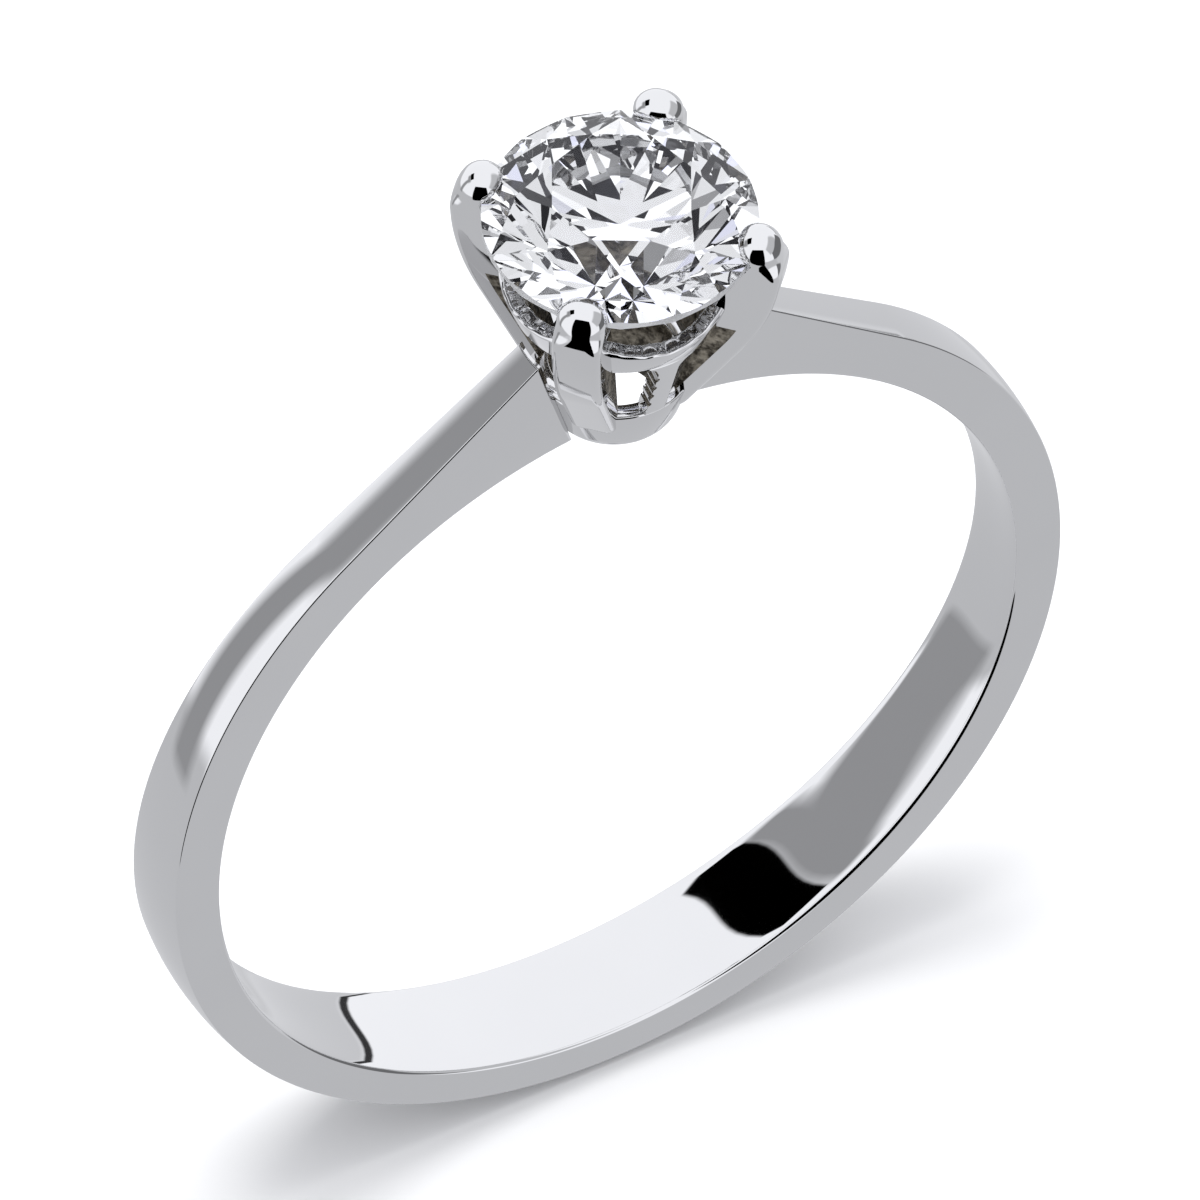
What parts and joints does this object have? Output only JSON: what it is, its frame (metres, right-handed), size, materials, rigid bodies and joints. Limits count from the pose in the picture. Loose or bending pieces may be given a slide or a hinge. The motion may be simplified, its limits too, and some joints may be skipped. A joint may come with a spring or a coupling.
{
  "type": "solitaire engagement ring",
  "caption": "Finger ring: a band that narrows towards straight shoulders, carrying an open four-claw basket head with a round brilliant-cut clear stone.",
  "frame": {"origin": "centre of the finger hole", "axes": "+Y along the finger hole, out of the back of the ring; +Z from the finger hole's centre up through the stone; +X to the right shoulder"},
  "size_m": [0.0192, 0.0052, 0.0243],
  "materials": {
    "white_gold": "rhodium-bright high polish, as-cast inside the head",
    "diamond": "polished facets, colourless"
  },
  "bodies": {
    "root": {"shank": "white_gold", "base_cup": "white_gold", "gallery_rail": "white_gold", "strut_front": "white_gold", "strut_back": "white_gold", "claw_front_left": "white_gold", "claw_front_right": "white_gold", "claw_back_left": "white_gold", "claw_back_right": "white_gold", "diamond": "diamond"}
  },
  "joints": []
}
